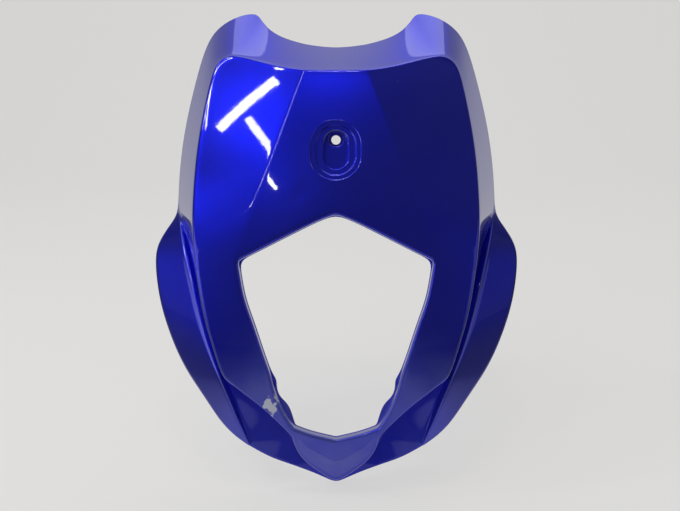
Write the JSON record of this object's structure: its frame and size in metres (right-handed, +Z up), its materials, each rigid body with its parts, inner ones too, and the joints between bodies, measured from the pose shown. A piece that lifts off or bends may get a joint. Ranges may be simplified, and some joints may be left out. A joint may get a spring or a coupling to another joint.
{
  "type": "scooter leg shield",
  "caption": "Hollow painted shell that leans back, with side wings, a neck cut-out, a lamp opening and a stepped badge recess with a screw hole.",
  "frame": {"origin": "centre of the screw hole in the badge recess, at the hole's front mouth", "axes": "+X across, to the right as seen from the front; +Y to the rear; +Z up, with the shield leaning back at its standing angle"},
  "size_m": [0.454, 0.2689, 0.5262],
  "materials": {
    "painted_shell": "metallic blue paint under a glossy clear coat"
  },
  "bodies": {
    "root": {"leg_shield": "painted_shell"}
  },
  "joints": []
}
